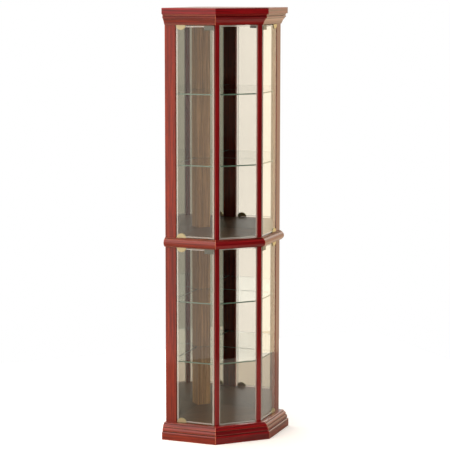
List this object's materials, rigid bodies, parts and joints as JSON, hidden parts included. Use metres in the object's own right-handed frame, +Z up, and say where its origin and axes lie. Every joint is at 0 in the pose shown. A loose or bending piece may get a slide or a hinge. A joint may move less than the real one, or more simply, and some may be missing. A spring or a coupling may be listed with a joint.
{
  "type": "corner curio cabinet",
  "caption": "Tall corner display cabinet in red-stained wood with frameless glass doors above and below a waist moulding, glass shelves and mirrored back walls.",
  "frame": {"origin": "centre of the overall box, on the floor", "axes": "+Z up, -Y out of the front, +X to the viewer's right"},
  "size_m": [0.5904, 0.4388, 1.803],
  "materials": {
    "stained_wood": "gloss lacquer over a red cherry stain",
    "plain_wood": "unfinished",
    "hardboard": "matte, unfinished",
    "clear_glass": "polished",
    "mirror": "silvered",
    "polished_brass": "polished",
    "bright_steel": "bright zinc plate",
    "black_plastic": "fine matte"
  },
  "bodies": {
    "carcass": {"back_corner_strip": "stained_wood", "back_panel_left": "hardboard", "back_panel_right": "hardboard", "base_back_rails": "plain_wood", "base_front_rail": "plain_wood", "base_moulding_centre": "stained_wood", "base_moulding_left": "stained_wood", "base_moulding_right": "stained_wood", "base_side_rails": "plain_wood", "crown_moulding_centre": "stained_wood", "crown_moulding_left": "stained_wood", "crown_moulding_right": "stained_wood", "front_post_left": "stained_wood", "front_post_right": "stained_wood", "latch_housings": "black_plastic", "latch_screws": "bright_steel", "latch_springs": "bright_steel", "lower_ceiling_board": "stained_wood", "lower_floor_board": "stained_wood", "lower_front_pane": "clear_glass", "lower_mirror_left": "mirror", "lower_mirror_right": "mirror", "pivot_bushes": "polished_brass", "shelf_pegs": "bright_steel", "top_back_rails": "plain_wood", "top_panel": "stained_wood", "upper_ceiling_board": "stained_wood", "upper_floor_board": "stained_wood", "upper_front_pane": "clear_glass", "upper_mirror_left": "mirror", "upper_mirror_right": "mirror", "waist_moulding_centre": "stained_wood", "waist_moulding_left": "stained_wood", "waist_moulding_right": "stained_wood", "wall_post_left": "stained_wood", "wall_post_right": "stained_wood"},
    "upper_door_left": {"upper_door_glass_left": "clear_glass", "upper_door_clamps_left": "polished_brass", "upper_clamp_screws_left": "bright_steel", "upper_door_striker_left": "bright_steel"},
    "upper_plunger_left": {"upper_latch_plunger_left": "bright_steel"},
    "upper_door_right": {"upper_door_glass_right": "clear_glass", "upper_door_clamps_right": "polished_brass", "upper_clamp_screws_right": "bright_steel", "upper_door_striker_right": "bright_steel"},
    "upper_plunger_right": {"upper_latch_plunger_right": "bright_steel"},
    "upper_shelf_high": {"upper_shelf_high": "clear_glass"},
    "upper_shelf_low": {"upper_shelf_low": "clear_glass"},
    "lower_door_left": {"lower_door_glass_left": "clear_glass", "lower_door_clamps_left": "polished_brass", "lower_clamp_screws_left": "bright_steel", "lower_door_striker_left": "bright_steel"},
    "lower_plunger_left": {"lower_latch_plunger_left": "bright_steel"},
    "lower_door_right": {"lower_door_glass_right": "clear_glass", "lower_door_clamps_right": "polished_brass", "lower_clamp_screws_right": "bright_steel", "lower_door_striker_right": "bright_steel"},
    "lower_plunger_right": {"lower_latch_plunger_right": "bright_steel"},
    "lower_shelf_high": {"lower_shelf_high": "clear_glass"},
    "lower_shelf_low": {"lower_shelf_low": "clear_glass"}
  },
  "joints": [
    {"name": "upper_door_left_hinge", "type": "hinge", "parent": "carcass", "child": "upper_door_left", "pos_m": [-0.21757, -0.05574, 1.294], "axis": [0, 0, -1], "range_deg": [0, 110]},
    {"name": "upper_plunger_left_slide", "type": "slide", "parent": "carcass", "child": "upper_plunger_left", "axis": [0.7071, 0.7071, 0], "range_m": [0, 0.0025], "stiffness_N_per_m": 300},
    {"name": "upper_door_right_hinge", "type": "hinge", "parent": "carcass", "child": "upper_door_right", "pos_m": [0.21757, -0.05574, 1.294], "axis": [0, 0, 1], "range_deg": [0, 110]},
    {"name": "upper_plunger_right_slide", "type": "slide", "parent": "carcass", "child": "upper_plunger_right", "axis": [-0.7071, 0.7071, 0], "range_m": [0, 0.0025], "stiffness_N_per_m": 300},
    {"name": "upper_shelf_high_lift", "type": "slide", "parent": "carcass", "child": "upper_shelf_high", "axis": [0, 0, 1], "range_m": [0, 0.05]},
    {"name": "upper_shelf_low_lift", "type": "slide", "parent": "carcass", "child": "upper_shelf_low", "axis": [0, 0, 1], "range_m": [0, 0.05]},
    {"name": "lower_door_left_hinge", "type": "hinge", "parent": "carcass", "child": "lower_door_left", "pos_m": [-0.21757, -0.05574, 0.44225], "axis": [0, 0, -1], "range_deg": [0, 110]},
    {"name": "lower_plunger_left_slide", "type": "slide", "parent": "carcass", "child": "lower_plunger_left", "axis": [0.7071, 0.7071, 0], "range_m": [0, 0.0025], "stiffness_N_per_m": 300},
    {"name": "lower_door_right_hinge", "type": "hinge", "parent": "carcass", "child": "lower_door_right", "pos_m": [0.21757, -0.05574, 0.44225], "axis": [0, 0, 1], "range_deg": [0, 110]},
    {"name": "lower_plunger_right_slide", "type": "slide", "parent": "carcass", "child": "lower_plunger_right", "axis": [-0.7071, 0.7071, 0], "range_m": [0, 0.0025], "stiffness_N_per_m": 300},
    {"name": "lower_shelf_high_lift", "type": "slide", "parent": "carcass", "child": "lower_shelf_high", "axis": [0, 0, 1], "range_m": [0, 0.05]},
    {"name": "lower_shelf_low_lift", "type": "slide", "parent": "carcass", "child": "lower_shelf_low", "axis": [0, 0, 1], "range_m": [0, 0.05]}
  ]
}
